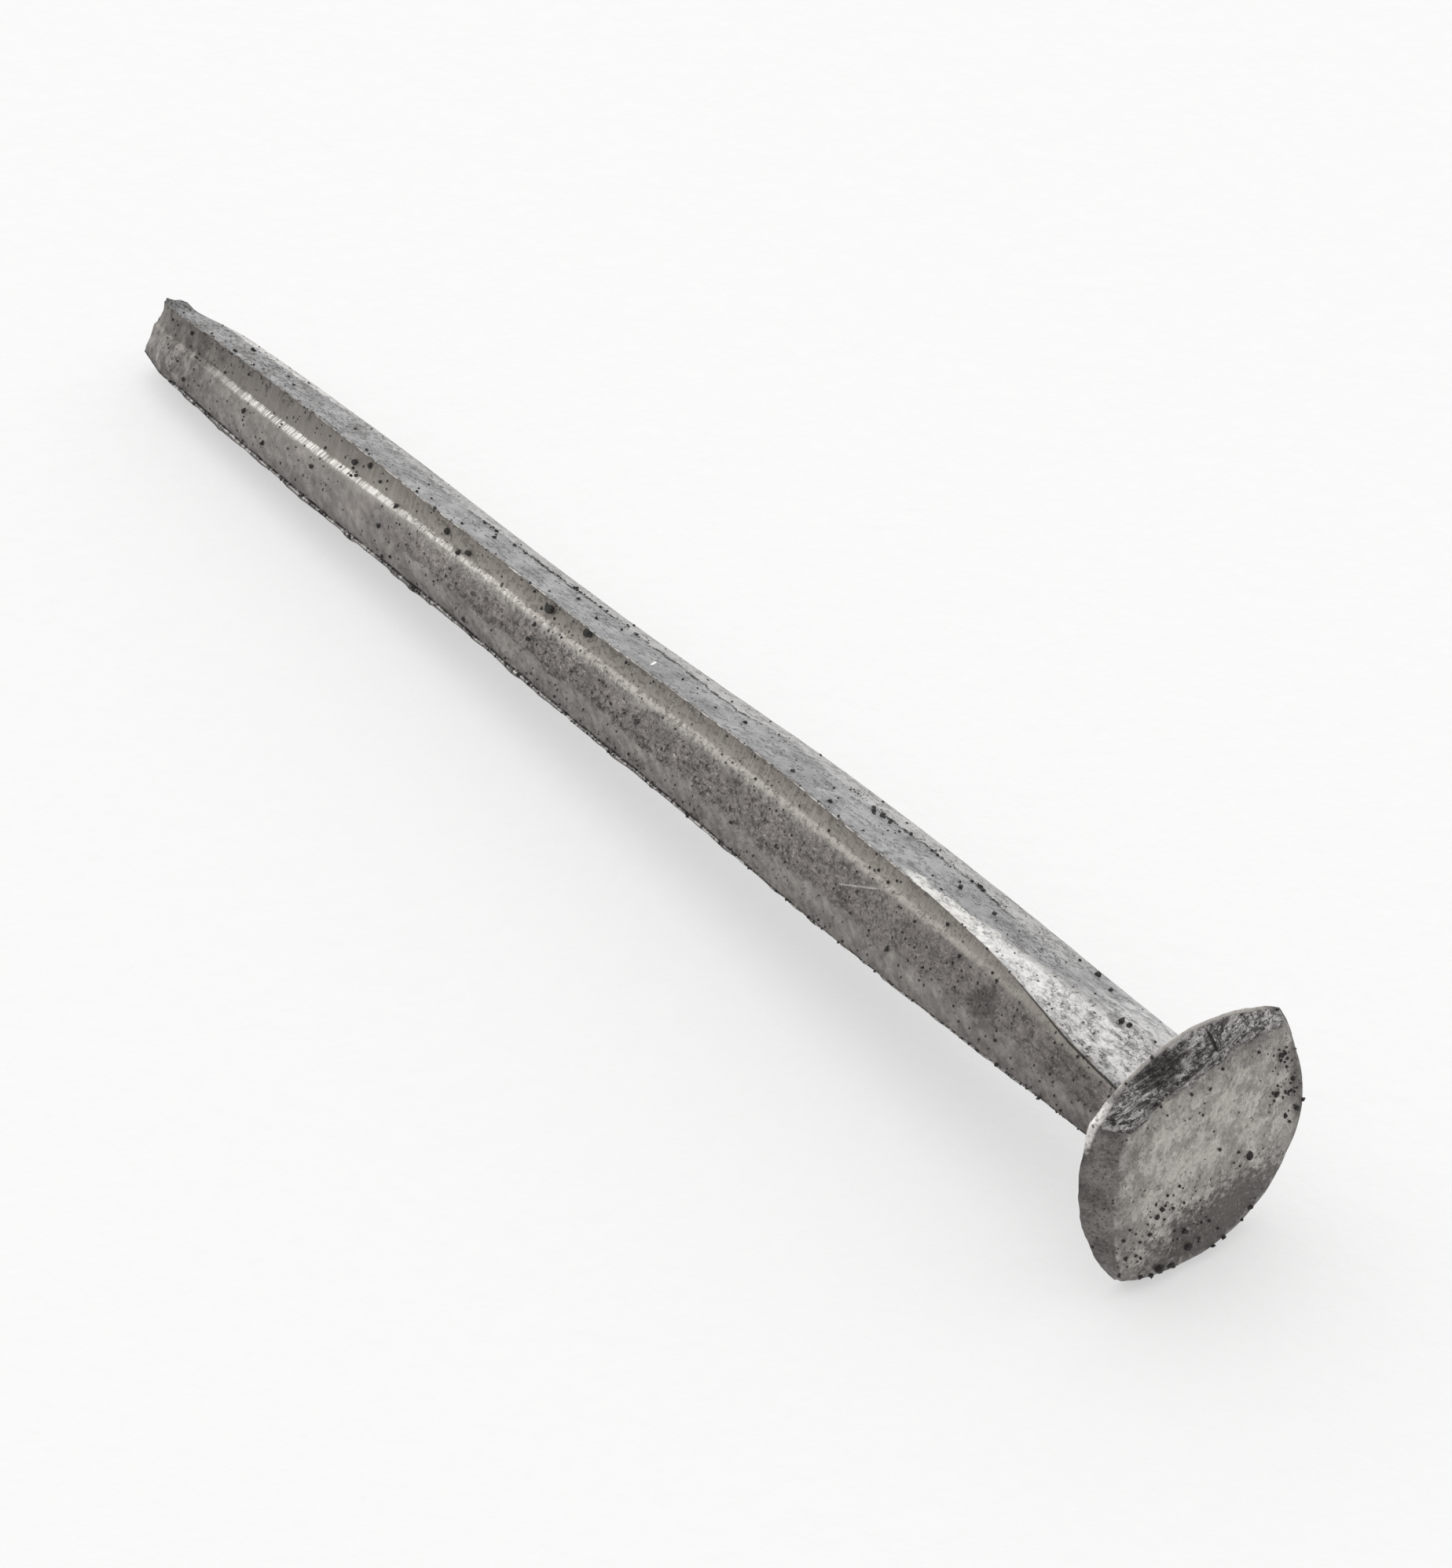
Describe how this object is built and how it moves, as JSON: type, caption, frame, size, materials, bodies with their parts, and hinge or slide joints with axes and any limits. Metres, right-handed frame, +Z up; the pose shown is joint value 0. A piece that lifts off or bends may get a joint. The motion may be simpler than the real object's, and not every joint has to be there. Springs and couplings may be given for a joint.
{
  "type": "cut spike",
  "caption": "Square-shank steel spike sheared from plate, tapering to a blunt tip, with a hammered four-facet head; lies on its side.",
  "frame": {"origin": "bottom centre of the bounding box of the spike as it lies on a flat surface, on the rim of its head and one corner of its shank near the tip", "axes": "+X runs along the spike towards its head, +Z up; the spike's own axis rises about 3 degrees towards the head"},
  "size_m": [0.1018, 0.0148, 0.015],
  "materials": {
    "steel": "dark sheared steel with blue-grey mill scale on the rolled faces and bare metal at the neck"
  },
  "bodies": {
    "root": {"spike": "steel"}
  },
  "joints": []
}
